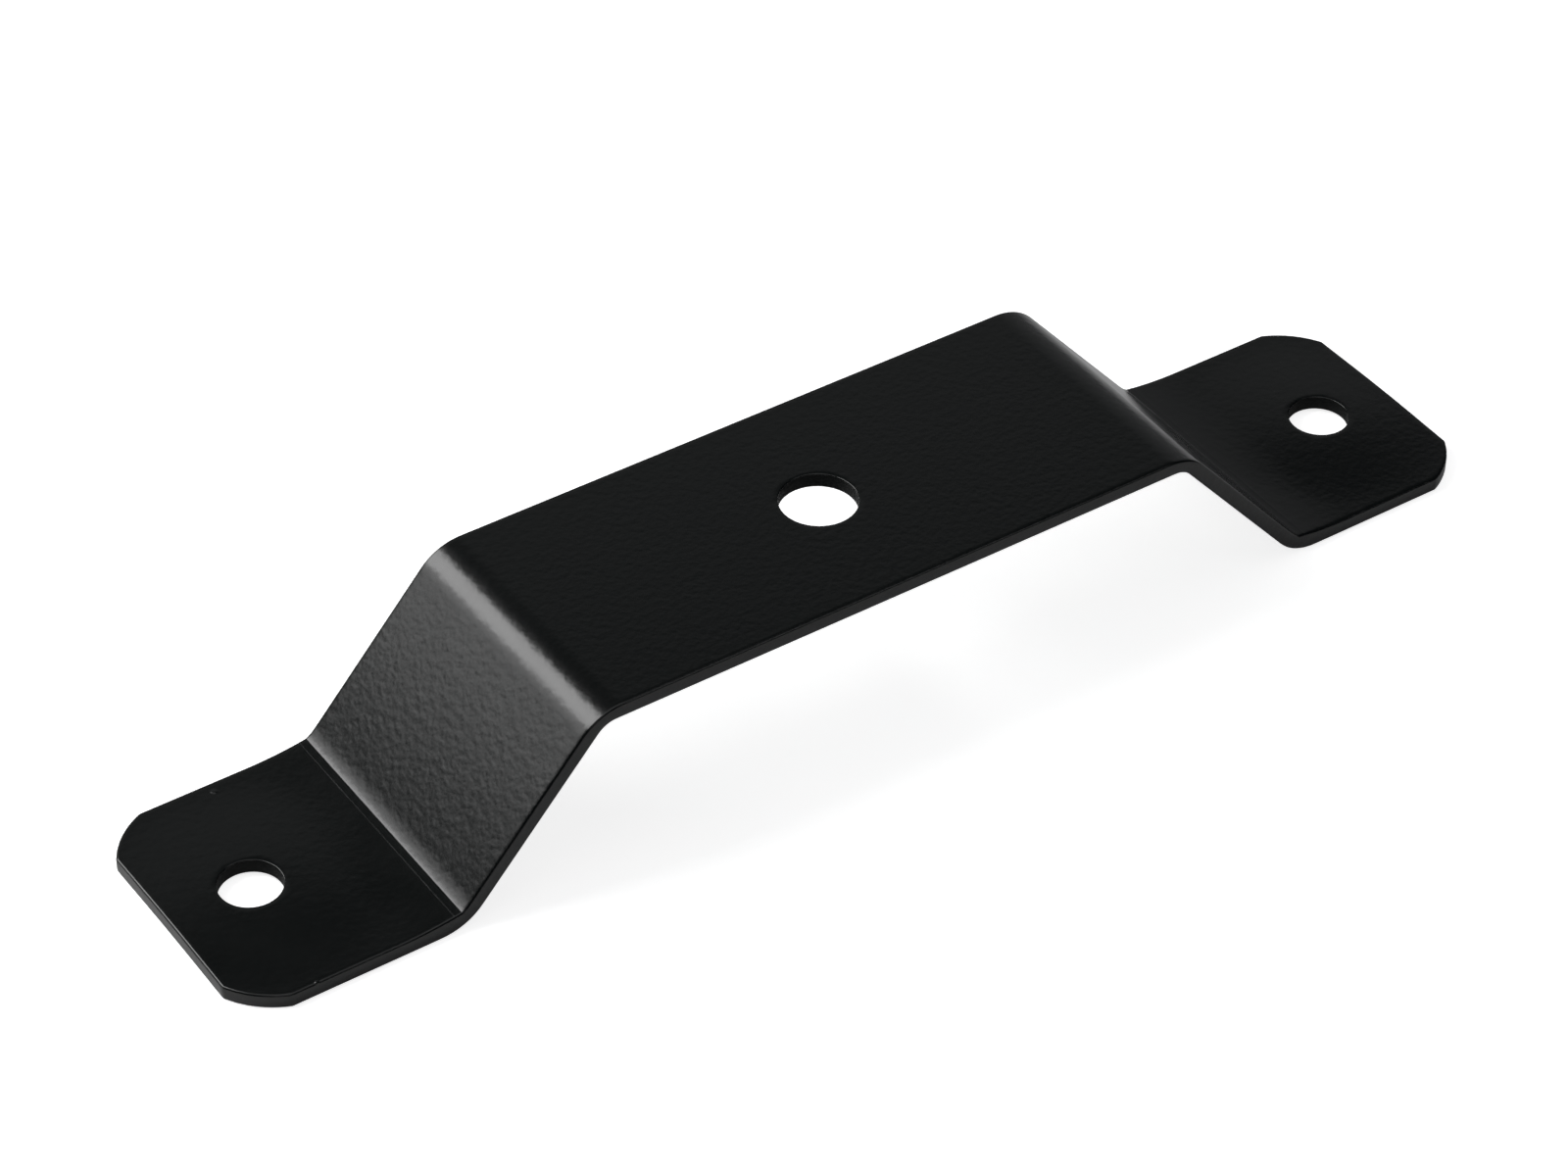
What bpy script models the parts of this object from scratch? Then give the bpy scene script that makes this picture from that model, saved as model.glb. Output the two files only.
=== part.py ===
"""Omega bracket: one strip of coated steel sheet, folded four times.

A raised top plate with a large hole stands on two sloping flanks, and each
flank runs out into a flat foot with a smaller screw hole. The strip is
symmetrical end to end and side to side.

Metres, +Z up. X runs along the strip and Y across it. The origin is midway
between the feet, on the surface that they stand on.
"""

import math

import bmesh
import bpy
from mathutils import Vector

# The sheet
THICKNESS = 0.00165
WIDTH = 0.030

# The folded shape. Lengths along X are between the lines where flat faces would meet.
HEIGHT = 0.020
TOP_LENGTH = 0.071
FLANK_RUN = 0.016
FOOT_LENGTH = 0.0235

# Fold radii. The press thins the sheet at a fold, so its two faces' arcs have different centres.
FOLD_OUTER_RADIUS = 0.0062
FOLD_INNER_RADIUS = 0.0026

# Screw holes, one in the middle of the top plate and one in each foot
TOP_HOLE_DIAMETER = 0.0081
FOOT_HOLE_DIAMETER = 0.0065
FOOT_HOLE_FROM_END = 0.009

# Each foot corner is cropped by a flat arc: its reach along the side and the end, and its radius
CORNER_ALONG_SIDE = 0.005
CORNER_ALONG_END = 0.0045
CORNER_RADIUS = 0.010

# Rounding that the coat leaves on the sheet's edges. The holes' rims are crisper.
EDGE_RADIUS = 0.0003
HOLE_EDGE_RADIUS = 0.00012

# How finely round forms are divided
FOLD_STEPS = 9
CORNER_STEPS = 7
HOLE_STEPS = 48
EDGE_STEPS = 2

# Cutters run this far past the faces that they cut
OVERRUN = 0.002

HALF_LENGTH = TOP_LENGTH / 2 + FLANK_RUN + FOOT_LENGTH
FLANK_ANGLE = math.atan2(HEIGHT - THICKNESS, FLANK_RUN)
FOOT_HOLE_X = HALF_LENGTH - FOOT_HOLE_FROM_END


def clear_scene():
    for old in list(bpy.data.objects):
        bpy.data.objects.remove(old, do_unlink=True)


def powder_coat():
    """Satin black powder coat, a touch green of neutral."""
    material = bpy.data.materials.new("black_powder_coat")
    material.use_nodes = True
    shader = material.node_tree.nodes["Principled BSDF"]
    shader.inputs["Base Color"].default_value = (0.0110, 0.0123, 0.0117, 1.0)
    shader.inputs["Roughness"].default_value = 0.42
    shader.inputs["Metallic"].default_value = 0.0
    return material


def arc(centre, radius, start, end, steps):
    """Points on an arc from angle start to angle end, both ends included."""
    points = []
    for step in range(steps + 1):
        angle = start + (end - start) * step / steps
        points.append(centre + radius * Vector((math.cos(angle), math.sin(angle))))
    return points


def face_line(depth, top_radius, foot_radius):
    """Half of one face of the sheet, at a depth below its upper face, as (x, z)."""
    half_turn = math.tan(FLANK_ANGLE / 2)
    top_corner = TOP_LENGTH / 2 - depth * half_turn
    foot_corner = top_corner + FLANK_RUN
    top_centre = Vector((top_corner - top_radius * half_turn, HEIGHT - depth - top_radius))
    foot_centre = Vector((foot_corner + foot_radius * half_turn, THICKNESS - depth + foot_radius))
    upright = math.pi / 2
    slope = upright - FLANK_ANGLE
    points = arc(top_centre, top_radius, upright, slope, FOLD_STEPS)
    points += arc(foot_centre, foot_radius, slope - math.pi, -upright, FOLD_STEPS)
    points.append(Vector((HALF_LENGTH + OVERRUN, THICKNESS - depth)))
    return points


def mirrored(points):
    return [Vector((-point.x, point.y)) for point in reversed(points)]


def section_outline():
    """The folded strip seen from its side: along the upper face, then back along the lower."""
    upper = face_line(0.0, FOLD_OUTER_RADIUS, FOLD_INNER_RADIUS)
    lower = face_line(THICKNESS, FOLD_INNER_RADIUS, FOLD_OUTER_RADIUS)
    return mirrored(upper) + upper + list(reversed(lower)) + list(reversed(mirrored(lower)))


def crop_arc():
    """The arc that crops the foot corner at +X +Y, from the side to the end, as (x, y)."""
    start = Vector((HALF_LENGTH - CORNER_ALONG_SIDE, WIDTH / 2))
    end = Vector((HALF_LENGTH, WIDTH / 2 - CORNER_ALONG_END))
    chord = end - start
    inward = Vector((chord.y, -chord.x)).normalized()
    depth = math.sqrt(CORNER_RADIUS ** 2 - (chord.length / 2) ** 2)
    centre = (start + end) / 2 + inward * depth
    first = start - centre
    last = end - centre
    return arc(centre, CORNER_RADIUS, math.atan2(first.y, first.x), math.atan2(last.y, last.x), CORNER_STEPS)


def plan_outline():
    """The strip seen from above, with its four cropped corners, as (x, y)."""
    right_back = crop_arc()
    right_front = [Vector((point.x, -point.y)) for point in reversed(right_back)]
    left_front = mirrored(right_front)
    left_back = mirrored(right_back)
    return right_back + right_front + left_front + left_back


def prism(name, corners, travel):
    """An object made by extruding one flat outline, given as 3-D points, along travel."""
    mesh = bpy.data.meshes.new(name)
    form = bmesh.new()
    outline = form.faces.new([form.verts.new(corner) for corner in corners])
    swept = bmesh.ops.extrude_face_region(form, geom=[outline])
    far_side = [item for item in swept["geom"] if isinstance(item, bmesh.types.BMVert)]
    bmesh.ops.translate(form, verts=far_side, vec=travel)
    bmesh.ops.recalc_face_normals(form, faces=form.faces)
    form.to_mesh(mesh)
    form.free()
    mesh.shade_smooth()
    mesh.set_sharp_from_angle(angle=math.radians(30))
    made = bpy.data.objects.new(name, mesh)
    bpy.context.collection.objects.link(made)
    return made


def make_cutter(cutter):
    cutter.display_type = "WIRE"
    cutter.hide_render = True
    return cutter


def blank_cutter():
    """Upright prism of the strip's plan outline. What lies inside it is kept."""
    corners = [Vector((point.x, point.y, -OVERRUN)) for point in plan_outline()]
    return make_cutter(prism("plan_cutter", corners, Vector((0.0, 0.0, HEIGHT + 2 * OVERRUN))))


def hole_cutter(name, x, floor, diameter):
    """Upright cylinder through the sheet, whose lower face there is at the height floor."""
    circle = arc(Vector((x, 0.0)), diameter / 2, 0.0, math.tau, HOLE_STEPS)[:-1]
    corners = [Vector((point.x, point.y, floor - OVERRUN)) for point in circle]
    return make_cutter(prism(name, corners, Vector((0.0, 0.0, THICKNESS + 2 * OVERRUN))))


def add_cut(target, cutter, operation):
    cut = target.modifiers.new(cutter.name, "BOOLEAN")
    cut.operation = operation
    cut.solver = "EXACT"
    cut.object = cutter


def round_edges(target, name, radius, sharper_than):
    """Rounds every edge that turns by more degrees than sharper_than."""
    rounding = target.modifiers.new(name, "BEVEL")
    rounding.width = radius
    rounding.segments = EDGE_STEPS
    rounding.limit_method = "ANGLE"
    rounding.angle_limit = math.radians(sharper_than)


def folded_strip():
    """The section swept a little wider than the strip, before the plan outline trims it."""
    side = WIDTH / 2 + OVERRUN
    corners = [Vector((point.x, -side, point.y)) for point in section_outline()]
    return prism("omega_bracket", corners, Vector((0.0, 2 * side, 0.0)))


def build_bracket():
    bracket = folded_strip()
    bracket.data.materials.append(powder_coat())
    add_cut(bracket, blank_cutter(), "INTERSECT")
    round_edges(bracket, "coated_edges", EDGE_RADIUS, 40)
    top_floor = HEIGHT - THICKNESS
    add_cut(bracket, hole_cutter("top_hole", 0.0, top_floor, TOP_HOLE_DIAMETER), "DIFFERENCE")
    add_cut(bracket, hole_cutter("left_foot_hole", -FOOT_HOLE_X, 0.0, FOOT_HOLE_DIAMETER), "DIFFERENCE")
    add_cut(bracket, hole_cutter("right_foot_hole", FOOT_HOLE_X, 0.0, FOOT_HOLE_DIAMETER), "DIFFERENCE")
    round_edges(bracket, "hole_rims", HOLE_EDGE_RADIUS, 60)


clear_scene()
build_bracket()
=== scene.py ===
import bisect
import itertools
import math

import bmesh
import bpy
from mathutils import Matrix, Vector


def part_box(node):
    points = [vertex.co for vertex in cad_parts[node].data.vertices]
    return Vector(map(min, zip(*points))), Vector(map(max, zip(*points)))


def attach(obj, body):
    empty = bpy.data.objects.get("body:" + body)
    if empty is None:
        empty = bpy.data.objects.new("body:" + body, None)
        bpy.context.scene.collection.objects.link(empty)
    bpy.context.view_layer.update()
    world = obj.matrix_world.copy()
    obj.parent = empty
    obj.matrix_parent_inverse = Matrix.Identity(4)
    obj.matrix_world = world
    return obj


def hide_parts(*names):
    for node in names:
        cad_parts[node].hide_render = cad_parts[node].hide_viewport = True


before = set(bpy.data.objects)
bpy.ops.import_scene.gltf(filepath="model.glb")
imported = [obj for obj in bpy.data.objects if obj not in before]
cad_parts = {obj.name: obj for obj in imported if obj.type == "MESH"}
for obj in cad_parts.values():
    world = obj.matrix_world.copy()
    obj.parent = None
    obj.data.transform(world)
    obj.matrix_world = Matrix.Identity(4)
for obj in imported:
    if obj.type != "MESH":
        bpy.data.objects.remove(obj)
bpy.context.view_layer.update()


# The camera
# It looks along the strip from its left front, well above it, through a long lens.
AIM = Vector((-0.0038, 0.0003, 0.010))
VIEW_AZIMUTH = math.radians(34.874)
VIEW_ELEVATION = math.radians(40.330)
VIEW_ROLL = math.radians(0.956)
VIEW_DISTANCE = 0.4895
LENS_MM = 111.55

view_direction = Vector((
    math.sin(VIEW_AZIMUTH) * math.cos(VIEW_ELEVATION),
    math.cos(VIEW_AZIMUTH) * math.cos(VIEW_ELEVATION),
    -math.sin(VIEW_ELEVATION),
))
camera_data = bpy.data.cameras.new("camera")
camera_data.lens = LENS_MM
camera_data.sensor_width = 36.0
camera = bpy.data.objects.new("camera", camera_data)
bpy.context.scene.collection.objects.link(camera)
camera.location = AIM - view_direction * VIEW_DISTANCE
camera.rotation_mode = "QUATERNION"
camera.rotation_quaternion = (
    view_direction.to_track_quat("-Z", "Y") @ Matrix.Rotation(VIEW_ROLL, 3, "Z").to_quaternion()
)
bpy.context.scene.camera = camera


# The bracket
# One strip of 1.5 mm steel, punched flat, folded four times in a press brake and then powder
# coated, so the coat rounds every edge. It is meshed here flat, in even quads, and then folded.
cad_corner_low, cad_corner_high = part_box("omega_bracket")
HALF_LENGTH = cad_corner_high.x
HALF_WIDTH = cad_corner_high.y
HEIGHT = cad_corner_high.z
THICKNESS = 0.00165
TOP_HALF = 0.0355
FLANK_RUN = 0.016
FOLD_OUTER_RADIUS = 0.0062
FOLD_INNER_RADIUS = 0.0026
TOP_HOLE_RADIUS = 0.00405
FOOT_HOLE_RADIUS = 0.00325
FOOT_HOLE_FROM_END = 0.009
CORNER_ALONG_SIDE = 0.005
CORNER_ALONG_END = 0.0045
CORNER_RADIUS = 0.010
EDGE_RADIUS = 0.0003
HOLE_EDGE_RADIUS = 0.00012

# Inside the foot's fold the sheet eases off the flank, creases under the punch's edge and
# then eases into the foot, all within this reach of the corner
CREASE_REACH = 0.0068
FLANK_EASING_RADIUS = 0.005
FLANK_EASING = math.radians(15)
FOOT_EASING_RADIUS = 0.042
FOOT_EASING = math.radians(9.5)
CREASE_RADIUS = 0.0003

# The punch leaves a fine raised line on the foot's side of the crease
PRESS_LINE_OFFSET = 0.00034
PRESS_LINE_WIDTH = 0.00032
PRESS_LINE_HEIGHT = 0.000020

# The feet are a little crowned, by this much at the middle of the hole
FOOT_CROWN = 0.0004

# Each bend is drawn with this many short steps, finer than the mesh
BEND_STEPS = 40


def heading(turned):
    """The unit vector of a path in the strip's side view that has turned down by that angle."""
    return Vector((math.cos(turned), -math.sin(turned)))


def bent_line(corner, turned, bends, reach):
    """One face through a fold, from reach before the corner of its flats to reach past it.

    Each bend is a radius and an angle. Bends follow each other, with a straight before and after.
    """
    points = [Vector((0.0, 0.0))]
    before = heading(turned)
    for radius, bend in bends:
        chord = 2 * radius * math.sin(abs(bend) / BEND_STEPS / 2)
        for step in range(BEND_STEPS):
            points.append(points[-1] + chord * heading(turned + bend * (step + 0.5) / BEND_STEPS))
        turned += bend
    after = heading(turned)
    rest = reach * (before + after) - points[-1]
    lead = (rest.x * after.y - rest.y * after.x) / (before.x * after.y - before.y * after.x)
    start = corner - reach * before
    return [start] + [start + lead * before + point for point in points] + [corner + reach * after]


def lengths_along(line):
    steps = [(after - before).length for before, after in zip(line, line[1:])]
    return [0.0] + list(itertools.accumulate(steps))


def point_on(line, fraction):
    lengths = line_lengths[id(line)]
    travelled = fraction * lengths[-1]
    first = min(bisect.bisect_right(lengths, travelled), len(line) - 1) - 1
    share = (travelled - lengths[first]) / (lengths[first + 1] - lengths[first])
    return line[first].lerp(line[first + 1], share)


# The two faces through each fold, then how far along the upper face each flat or fold ends
flank_angle = math.atan2(HEIGHT - THICKNESS, FLANK_RUN)
corner_shift = THICKNESS * math.tan(flank_angle / 2)
outer_reach = FOLD_OUTER_RADIUS * math.tan(flank_angle / 2)
crease_bends = [
    (FLANK_EASING_RADIUS, -FLANK_EASING),
    (CREASE_RADIUS, FLANK_EASING + FOOT_EASING - flank_angle),
    (FOOT_EASING_RADIUS, -FOOT_EASING),
]
top_corner = Vector((TOP_HALF, HEIGHT))
foot_corner = Vector((TOP_HALF + FLANK_RUN, THICKNESS))
to_lower = Vector((-corner_shift, -THICKNESS))
top_upper = bent_line(top_corner, 0.0, [(FOLD_OUTER_RADIUS, flank_angle)], outer_reach)
top_lower = bent_line(
    top_corner + to_lower, 0.0, [(FOLD_INNER_RADIUS, flank_angle)], outer_reach - corner_shift
)
foot_upper = bent_line(foot_corner, flank_angle, crease_bends, CREASE_REACH)
foot_lower = bent_line(
    foot_corner + to_lower, flank_angle, [(FOLD_OUTER_RADIUS, -flank_angle)], CREASE_REACH + corner_shift
)
line_lengths = {id(line): lengths_along(line) for line in (top_upper, top_lower, foot_upper, foot_lower)}

top_end = TOP_HALF - outer_reach
top_fold_end = top_end + line_lengths[id(top_upper)][-1]
flank_end = top_fold_end + (foot_corner - top_corner).length - outer_reach - CREASE_REACH
foot_fold_end = flank_end + line_lengths[id(foot_upper)][-1]
strip_end = foot_fold_end + HALF_LENGTH - foot_corner.x - CREASE_REACH
nearest = min(range(len(foot_upper)), key=lambda place: (foot_upper[place] - foot_corner).length)
crease = flank_end + line_lengths[id(foot_upper)][nearest]

# Even quads of about this size, with a square of them round each hole and narrow ones at the crease
QUAD = 0.00064
HOLE_SQUARE = 0.0075
SQUARE_CELLS = 24
SQUARE_CELLS_BEFORE_CROP = 18
HOLE_RINGS = 8
FOLD_CELLS = 18
CREASE_BAND = 0.0013
CREASE_CELLS = 46

# The coat rounds every edge that turns by more than this, in this many facets
SHARP_ANGLE = math.radians(20)
RIM_SEGMENTS = 3
OUTLINE_SEGMENTS = 4

# A face whose normal rises less than this is upright
UPRIGHT = 0.2


def stations(start, end, cells):
    """Evenly spaced positions after start, up to and including end."""
    return [start + (end - start) * (step + 1) / cells for step in range(cells)]


def run_of_quads(start, end):
    return stations(start, end, max(1, round((end - start) / QUAD)))


def half_stations():
    """Positions of the mesh's columns along one half of the flat strip."""
    hole = strip_end - FOOT_HOLE_FROM_END
    crop = strip_end - CORNER_ALONG_SIDE
    marks = [0.0] + stations(0.0, HOLE_SQUARE, SQUARE_CELLS // 2)
    marks += run_of_quads(HOLE_SQUARE, top_end)
    marks += stations(top_end, top_fold_end, FOLD_CELLS)
    marks += run_of_quads(top_fold_end, flank_end)
    marks += stations(flank_end, crease - CREASE_BAND, FOLD_CELLS // 2)
    marks += stations(crease - CREASE_BAND, crease + CREASE_BAND, CREASE_CELLS)
    marks += run_of_quads(crease + CREASE_BAND, foot_fold_end)
    marks += run_of_quads(foot_fold_end, hole - HOLE_SQUARE)
    marks += stations(hole - HOLE_SQUARE, crop, SQUARE_CELLS_BEFORE_CROP)
    marks += stations(crop, hole + HOLE_SQUARE, SQUARE_CELLS - SQUARE_CELLS_BEFORE_CROP)
    marks += run_of_quads(hole + HOLE_SQUARE, strip_end)
    return marks


def half_width_at(along):
    """Half the strip's width there. Each cropped corner is an arc that meets side and end at an angle."""
    into_corner = abs(along) - (strip_end - CORNER_ALONG_SIDE)
    if into_corner <= 0:
        return HALF_WIDTH
    chord = math.hypot(CORNER_ALONG_SIDE, CORNER_ALONG_END)
    reach = math.sqrt(CORNER_RADIUS ** 2 - (chord / 2) ** 2)
    centre_along = CORNER_ALONG_SIDE / 2 - reach * CORNER_ALONG_END / chord
    centre_across = HALF_WIDTH - CORNER_ALONG_END / 2 - reach * CORNER_ALONG_SIDE / chord
    return centre_across + math.sqrt(CORNER_RADIUS ** 2 - (into_corner - centre_along) ** 2)


def flat_strip():
    """The punched strip's upper face, flat, as even quads with rings of quads round the holes."""
    half = half_stations()
    columns = [-mark for mark in reversed(half[1:])] + half
    row_cells = 2 * round(HALF_WIDTH / HOLE_SQUARE * SQUARE_CELLS / 2)
    rows = [-HALF_WIDTH] + stations(-HALF_WIDTH, HALF_WIDTH, row_cells)
    strip = bmesh.new()
    corners = {}

    def corner(column, row):
        if (column, row) not in corners:
            along = columns[column]
            across = rows[row] * half_width_at(along) / HALF_WIDTH
            corners[column, row] = strip.verts.new((along, across, 0.0))
        return corners[column, row]

    first_row = (row_cells - SQUARE_CELLS) // 2
    last_row = first_row + SQUARE_CELLS
    hole_along = strip_end - FOOT_HOLE_FROM_END
    holes = ((-hole_along, FOOT_HOLE_RADIUS), (0.0, TOP_HOLE_RADIUS), (hole_along, FOOT_HOLE_RADIUS))
    squares = []
    for centre, radius in holes:
        first = min(range(len(columns)), key=lambda column: abs(columns[column] - (centre - HOLE_SQUARE)))
        squares.append((centre, radius, first, first + SQUARE_CELLS))

    for column in range(len(columns) - 1):
        for row in range(row_cells):
            in_square = first_row <= row < last_row and any(
                first <= column < last for centre, radius, first, last in squares
            )
            if not in_square:
                strip.faces.new((
                    corner(column, row), corner(column + 1, row),
                    corner(column + 1, row + 1), corner(column, row + 1),
                ))

    for centre, radius, first, last in squares:
        border = [corner(column, first_row) for column in range(first, last)]
        border += [corner(last, row) for row in range(first_row, last_row)]
        border += [corner(column, last_row) for column in range(last, first, -1)]
        border += [corner(first, row) for row in range(last_row, first_row, -1)]
        outer = border
        for ring in range(1, HOLE_RINGS + 1):
            inner = []
            for spoke, edge in enumerate(border):
                angle = math.tau * spoke / len(border) - math.pi * 3 / 4
                rim = Vector((centre + radius * math.cos(angle), radius * math.sin(angle), 0.0))
                inner.append(strip.verts.new(edge.co.lerp(rim, ring / HOLE_RINGS)))
            for spoke in range(len(border)):
                after = (spoke + 1) % len(border)
                strip.faces.new((outer[spoke], outer[after], inner[after], inner[spoke]))
            outer = inner
    return strip


def give_thickness(strip):
    swept = bmesh.ops.extrude_face_region(strip, geom=list(strip.faces))
    lower = [item for item in swept["geom"] if isinstance(item, bmesh.types.BMVert)]
    bmesh.ops.translate(strip, verts=lower, vec=(0.0, 0.0, -THICKNESS))
    bmesh.ops.recalc_face_normals(strip, faces=strip.faces)


def in_hole_square(edge):
    middle = (edge.verts[0].co + edge.verts[1].co) / 2
    from_hole = min(abs(middle.x), abs(abs(middle.x) - strip_end + FOOT_HOLE_FROM_END))
    return max(from_hole, abs(middle.y)) < HOLE_SQUARE


def round_the_edges(strip):
    """Rounds both rims of each hole and of the outline, and the upright corners between them."""
    sharp = [edge for edge in strip.edges if edge.calc_face_angle() > SHARP_ANGLE]
    rims = [edge for edge in sharp if in_hole_square(edge)]
    outline = [edge for edge in sharp if not in_hole_square(edge)]
    roundings = ((rims, HOLE_EDGE_RADIUS, RIM_SEGMENTS), (outline, EDGE_RADIUS, OUTLINE_SEGMENTS))
    for edges, radius, segments in roundings:
        bmesh.ops.bevel(
            strip, geom=edges, offset=radius, offset_type="OFFSET", segments=segments, profile=0.5,
            affect="EDGES", clamp_overlap=True,
        )


def press_line(along):
    """Height of the raised line beside the crease."""
    across = (along - crease - PRESS_LINE_OFFSET) / PRESS_LINE_WIDTH
    return PRESS_LINE_HEIGHT * math.cos(math.pi * across) ** 2 if abs(across) < 0.5 else 0.0


def crown(x, y):
    """How far a foot is raised there. It falls away evenly all round the hole."""
    from_hole = math.hypot(abs(x) - (HALF_LENGTH - FOOT_HOLE_FROM_END), y) / HALF_WIDTH
    return FOOT_CROWN * (1 - from_hole ** 2) ** 2 if from_hole < 1 else 0.0


def fold(along, depth):
    """Where a point of the flat strip goes when it is folded, as (x, z). Depth is below the upper face."""
    side = math.copysign(1.0, along)
    along = abs(along)
    share = depth / THICKNESS
    if along <= top_end:
        place = Vector((along, HEIGHT - depth))
    elif along <= top_fold_end:
        fraction = (along - top_end) / (top_fold_end - top_end)
        place = point_on(top_upper, fraction).lerp(point_on(top_lower, fraction), share)
    elif along <= flank_end:
        into_flank = (along - top_fold_end) * heading(flank_angle)
        place = (top_upper[-1] + into_flank).lerp(top_lower[-1] + into_flank, share)
    elif along <= foot_fold_end:
        fraction = (along - flank_end) / (foot_fold_end - flank_end)
        upper = point_on(foot_upper, fraction)
        lower = point_on(foot_lower, fraction)
        upper += press_line(along) * (upper - lower).normalized()
        place = upper.lerp(lower, share)
    else:
        place = foot_upper[-1] + Vector((along - foot_fold_end, -depth))
    return side * place.x, place.y


def fold_strip(strip):
    for vert in strip.verts:
        x, z = fold(vert.co.x, -vert.co.z)
        vert.co = Vector((x, vert.co.y, z + crown(x, vert.co.y)))


def mark_hole_walls(strip):
    """Gives the upright walls of the holes the bracket's second material, a duller copy of the coat that
    paints their shade.
    """
    for face in strip.faces:
        if abs(face.normal.z) < UPRIGHT and in_hole_square(face.edges[0]):
            face.material_index = 1


strip = flat_strip()
give_thickness(strip)
round_the_edges(strip)
mark_hole_walls(strip)
fold_strip(strip)
bracket_mesh = bpy.data.meshes.new("coated_bracket")
strip.to_mesh(bracket_mesh)
strip.free()
bracket_mesh.shade_smooth()
bracket = bpy.data.objects.new("coated_bracket", bracket_mesh)
bpy.context.scene.collection.objects.link(bracket)
weighting = bracket.modifiers.new("flat_face_shading", "WEIGHTED_NORMAL")
weighting.weight = 100


def linear(hex_colour):
    """A colour written as an sRGB hex value, as linear red, green, blue and alpha."""
    channels = []
    for place in (1, 3, 5):
        value = int(hex_colour[place:place + 2], 16) / 255
        channels.append(value / 12.92 if value <= 0.04045 else ((value + 0.055) / 1.055) ** 2.4)
    return (*channels, 1.0)


def add_node(material, kind, settings=None, **links):
    """Adds a node, gives it its settings, and sets each named input to a value or another node's output."""
    node = material.node_tree.nodes.new(kind)
    for name, value in (settings or {}).items():
        setattr(node, name, value)
    for name, value in links.items():
        socket = next(
            socket for socket in node.inputs
            if socket.enabled and name in (socket.identifier, socket.name.replace(" ", "_"))
        )
        if isinstance(value, bpy.types.NodeSocket):
            material.node_tree.links.new(value, socket)
        else:
            socket.default_value = value
    return node


# Polyester powder coat, sprayed dry and baked: it melts into a satin skin whose fine orange
# peel, under a millimetre wide, breaks up every highlight. Its gloss changes a little over a few
# millimetres, and two grains of dust stand up through it on the left foot.
POWDER_BLACK = "#070a09"
POWDER_IOR = 1.5
PEEL_SIZE = 0.0008
PEEL_DEPTH = 0.000023
PEEL_DETAIL = 1.2
GLOSS_PATCH_SIZE = 0.005
GLOSS_PATCH_DETAIL = 2.0
GLOSS_NOISE_RANGE = (0.3, 0.7)
ROUGHNESS_RANGE = (0.215, 0.245)

# Where each grain of dust is, how wide it spreads, and its height as a multiple of the peel's depth
DUST_GRAINS = (((-0.0624, 0.01365, 0.00166), 0.0005), ((-0.06724, -0.0148, 0.0016), 0.0003))
DUST_HEIGHT = 4.0

powder_coat = bpy.data.materials.new("black_powder_coat")
powder_coat.use_nodes = True
shader = powder_coat.node_tree.nodes["Principled BSDF"]
shader.inputs["Base Color"].default_value = linear(POWDER_BLACK)
shader.inputs["IOR"].default_value = POWDER_IOR
place = add_node(powder_coat, "ShaderNodeTexCoord").outputs["Object"]
gloss_patches = add_node(
    powder_coat, "ShaderNodeTexNoise", Vector=place, Scale=1 / GLOSS_PATCH_SIZE, Detail=GLOSS_PATCH_DETAIL,
)
roughness = add_node(
    powder_coat, "ShaderNodeMapRange", Value=gloss_patches.outputs["Fac"],
    From_Min=GLOSS_NOISE_RANGE[0], From_Max=GLOSS_NOISE_RANGE[1],
    To_Min=ROUGHNESS_RANGE[0], To_Max=ROUGHNESS_RANGE[1],
)
powder_coat.node_tree.links.new(roughness.outputs["Result"], shader.inputs["Roughness"])
peel = add_node(
    powder_coat, "ShaderNodeTexNoise", Vector=place, Scale=1 / PEEL_SIZE, Detail=PEEL_DETAIL,
)
relief = peel.outputs["Fac"]
for centre, radius in DUST_GRAINS:
    away = add_node(
        powder_coat, "ShaderNodeVectorMath", {"operation": "DISTANCE"}, Vector=place, Vector_001=centre,
    )
    grain = add_node(
        powder_coat, "ShaderNodeMapRange", {"interpolation_type": "SMOOTHSTEP"},
        Value=away.outputs["Value"], From_Max=radius, To_Min=DUST_HEIGHT, To_Max=0.0,
    )
    relief = add_node(
        powder_coat, "ShaderNodeMath", {"operation": "ADD"}, Value=relief, Value_001=grain.outputs["Result"],
    ).outputs["Value"]
peel_bump = add_node(powder_coat, "ShaderNodeBump", Height=relief, Strength=1.0, Distance=PEEL_DEPTH)
powder_coat.node_tree.links.new(peel_bump.outputs["Normal"], shader.inputs["Normal"])
bracket_mesh.materials.append(powder_coat)

# Painted shade: the walls of the holes get a copy of the coat with less and blurrier gloss, which stands in
# for the shadowed floor they mirror.
HOLE_WALL_ROUGHNESS = 0.6
HOLE_WALL_SPECULAR = 0.2
shaded_hole_wall_coat = bpy.data.materials.new("thin_powder_coat_in_holes")
shaded_hole_wall_coat.use_nodes = True
shaded_hole_wall_shader = shaded_hole_wall_coat.node_tree.nodes["Principled BSDF"]
shaded_hole_wall_shader.inputs["Base Color"].default_value = linear(POWDER_BLACK)
shaded_hole_wall_shader.inputs["Roughness"].default_value = HOLE_WALL_ROUGHNESS
shaded_hole_wall_shader.inputs["Specular IOR Level"].default_value = HOLE_WALL_SPECULAR
bracket_mesh.materials.append(shaded_hole_wall_coat)

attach(bracket, "root")
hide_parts("omega_bracket")


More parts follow.
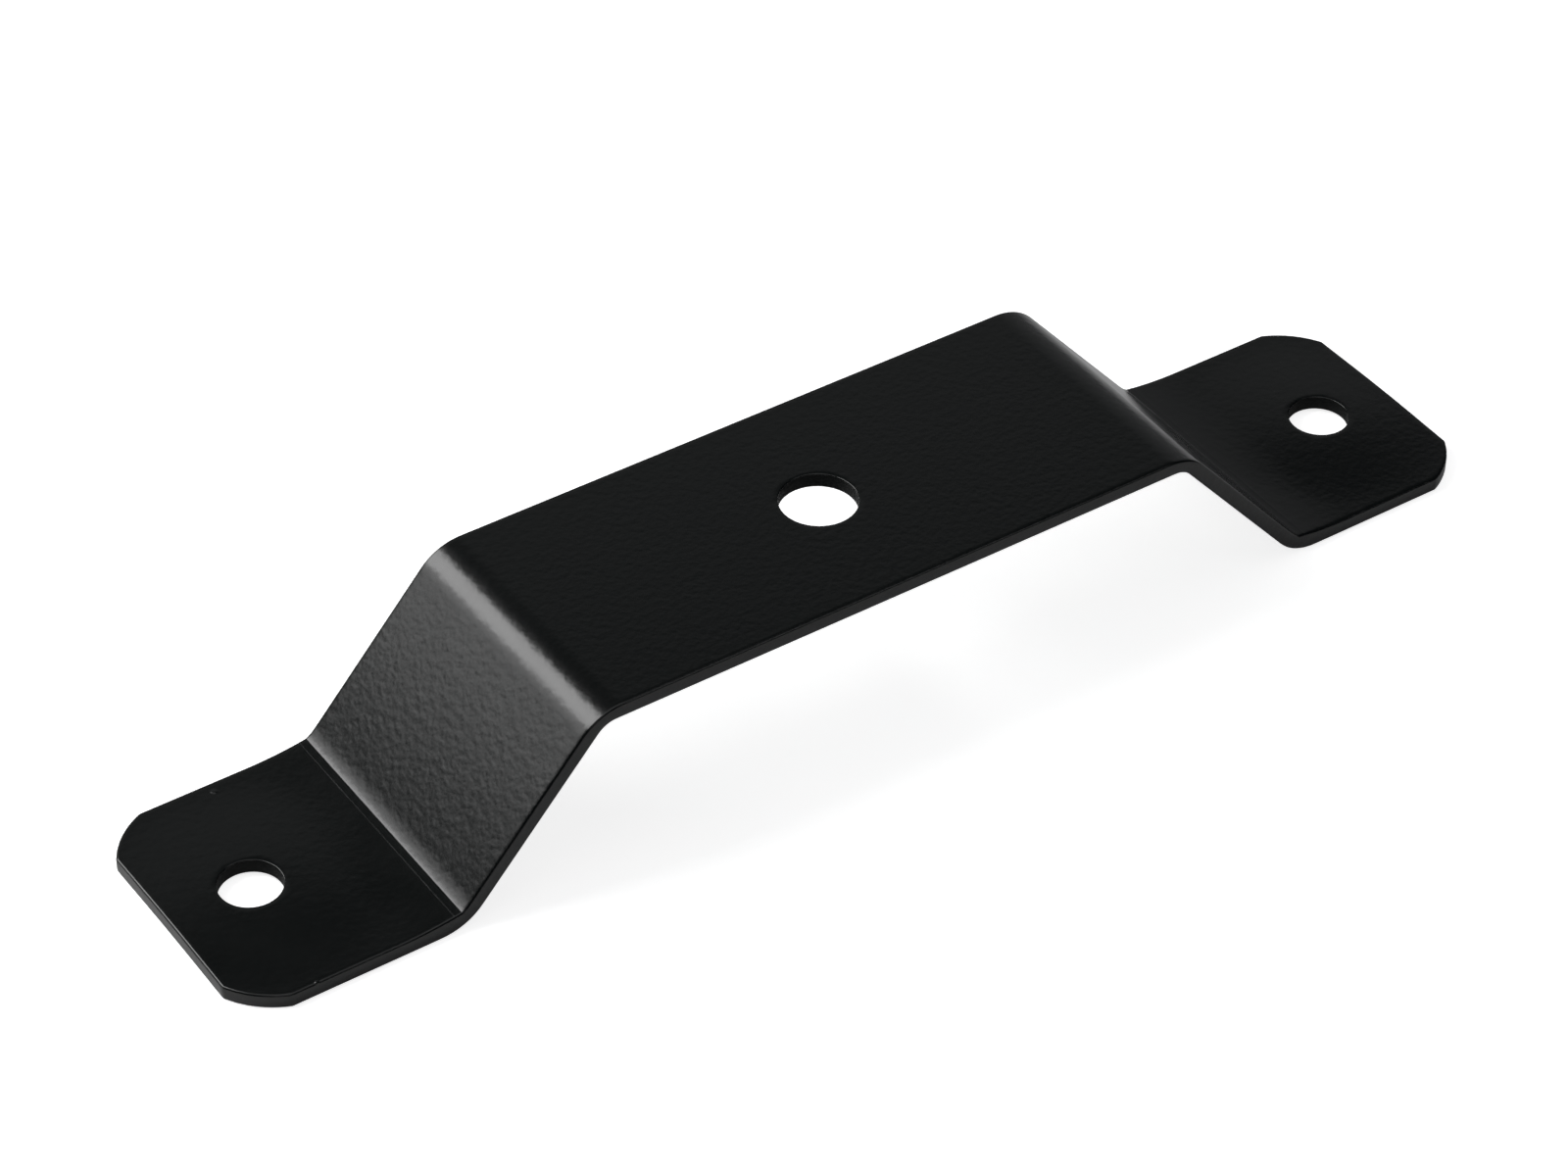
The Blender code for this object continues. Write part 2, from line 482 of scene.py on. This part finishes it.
# The floor
# A plain sheet of matt white paper just under the feet, much wider than the view. It glows for
# the camera, which leaves it white with a light shadow, and far less for the coat's gloss.
FLOOR_SIZE = 6.0
FLOOR_DROP = 0.00002
FLOOR_WHITE = "#dedede"
PAPER_ROUGHNESS = 0.9
SEEN_WHITE = 0.82
REFLECTED_WHITE = 0.065
floor_mesh = bpy.data.meshes.new("floor")
floor_form = bmesh.new()
bmesh.ops.create_grid(floor_form, x_segments=1, y_segments=1, size=FLOOR_SIZE / 2)
floor_form.to_mesh(floor_mesh)
floor_form.free()
floor = bpy.data.objects.new("floor", floor_mesh)
bpy.context.scene.collection.objects.link(floor)
floor.location.z = -FLOOR_DROP
paper = bpy.data.materials.new("white_paper")
paper.use_nodes = True
paper_shader = paper.node_tree.nodes["Principled BSDF"]
paper_shader.inputs["Base Color"].default_value = linear(FLOOR_WHITE)
paper_shader.inputs["Roughness"].default_value = PAPER_ROUGHNESS
paper_shader.inputs["Specular IOR Level"].default_value = 0.0
light_path = add_node(paper, "ShaderNodeLightPath")
reflected = add_node(
    paper, "ShaderNodeMath", {"operation": "MULTIPLY"},
    Value=light_path.outputs["Is Glossy Ray"], Value_001=REFLECTED_WHITE,
)
whiter = add_node(
    paper, "ShaderNodeMath", {"operation": "MULTIPLY_ADD"},
    Value=light_path.outputs["Is Camera Ray"], Value_001=SEEN_WHITE, Value_002=reflected.outputs["Value"],
)
glow = add_node(paper, "ShaderNodeEmission", Color=(1.0, 1.0, 1.0, 1.0), Strength=whiter.outputs["Value"])
added = add_node(
    paper, "ShaderNodeAddShader", Shader=paper_shader.outputs["BSDF"], Shader_001=glow.outputs["Emission"],
)
paper.node_tree.links.new(added.outputs["Shader"], paper.node_tree.nodes["Material Output"].inputs["Surface"])
floor_mesh.materials.append(paper)


# The lamps
# A softbox behind the bracket to its left lights the folds, and a dimmer one below it the left
# flank. A dim panel behind to the right is what the flat faces mirror: its upper edge falls
# across them, so a slight tilt shows. Three weak lamps and a dark room do the rest.
ROOM_COLOUR = "#dce6ff"
ROOM_STRENGTH = 0.02


def soft_lamp(name, azimuth, elevation, distance, size, radiance, roll=0.0):
    """An area lamp that faces the bracket. Azimuth is from +Y towards +X, and angles are in degrees."""
    lamp_data = bpy.data.lights.new(name, "AREA")
    lamp_data.shape = "RECTANGLE"
    lamp_data.size = size[0]
    lamp_data.size_y = size[1]
    lamp_data.energy = radiance * math.pi * size[0] * size[1]
    lamp = bpy.data.objects.new(name, lamp_data)
    bpy.context.scene.collection.objects.link(lamp)
    azimuth = math.radians(azimuth)
    elevation = math.radians(elevation)
    towards = Vector((
        math.sin(azimuth) * math.cos(elevation),
        math.cos(azimuth) * math.cos(elevation),
        math.sin(elevation),
    ))
    lamp.location = towards * distance
    lamp.rotation_mode = "QUATERNION"
    lamp.rotation_quaternion = (
        (-towards).to_track_quat("-Z", "Y") @ Matrix.Rotation(math.radians(roll), 3, "Z").to_quaternion()
    )
    lamp.visible_camera = False


soft_lamp(
    "back_softbox", azimuth=-44.8, elevation=44.1, distance=0.406, size=(0.167, 0.35), radiance=6.4, roll=-48,
)
soft_lamp(
    "low_back_softbox", azimuth=-48.5, elevation=22.8, distance=0.4, size=(0.106, 0.15), radiance=2.4,
    roll=-70,
)
soft_lamp(
    "dim_back_panel", azimuth=28, elevation=24.8, distance=2.0, size=(2.8, 1.34), radiance=0.187, roll=15,
)
soft_lamp("overhead_softbox", azimuth=0, elevation=88, distance=0.9, size=(0.7, 0.7), radiance=0.8)
soft_lamp("left_front_lamp", azimuth=-150, elevation=40, distance=1.2, size=(0.5, 0.5), radiance=0.8)
soft_lamp("right_front_lamp", azimuth=146, elevation=42, distance=1.2, size=(0.25, 0.3), radiance=2.0)

world = bpy.data.worlds.new("room")
bpy.context.scene.world = world
world.use_nodes = True
background = world.node_tree.nodes["Background"]
background.inputs["Color"].default_value = linear(ROOM_COLOUR)
background.inputs["Strength"].default_value = ROOM_STRENGTH

bpy.context.scene.view_settings.view_transform = "Standard"
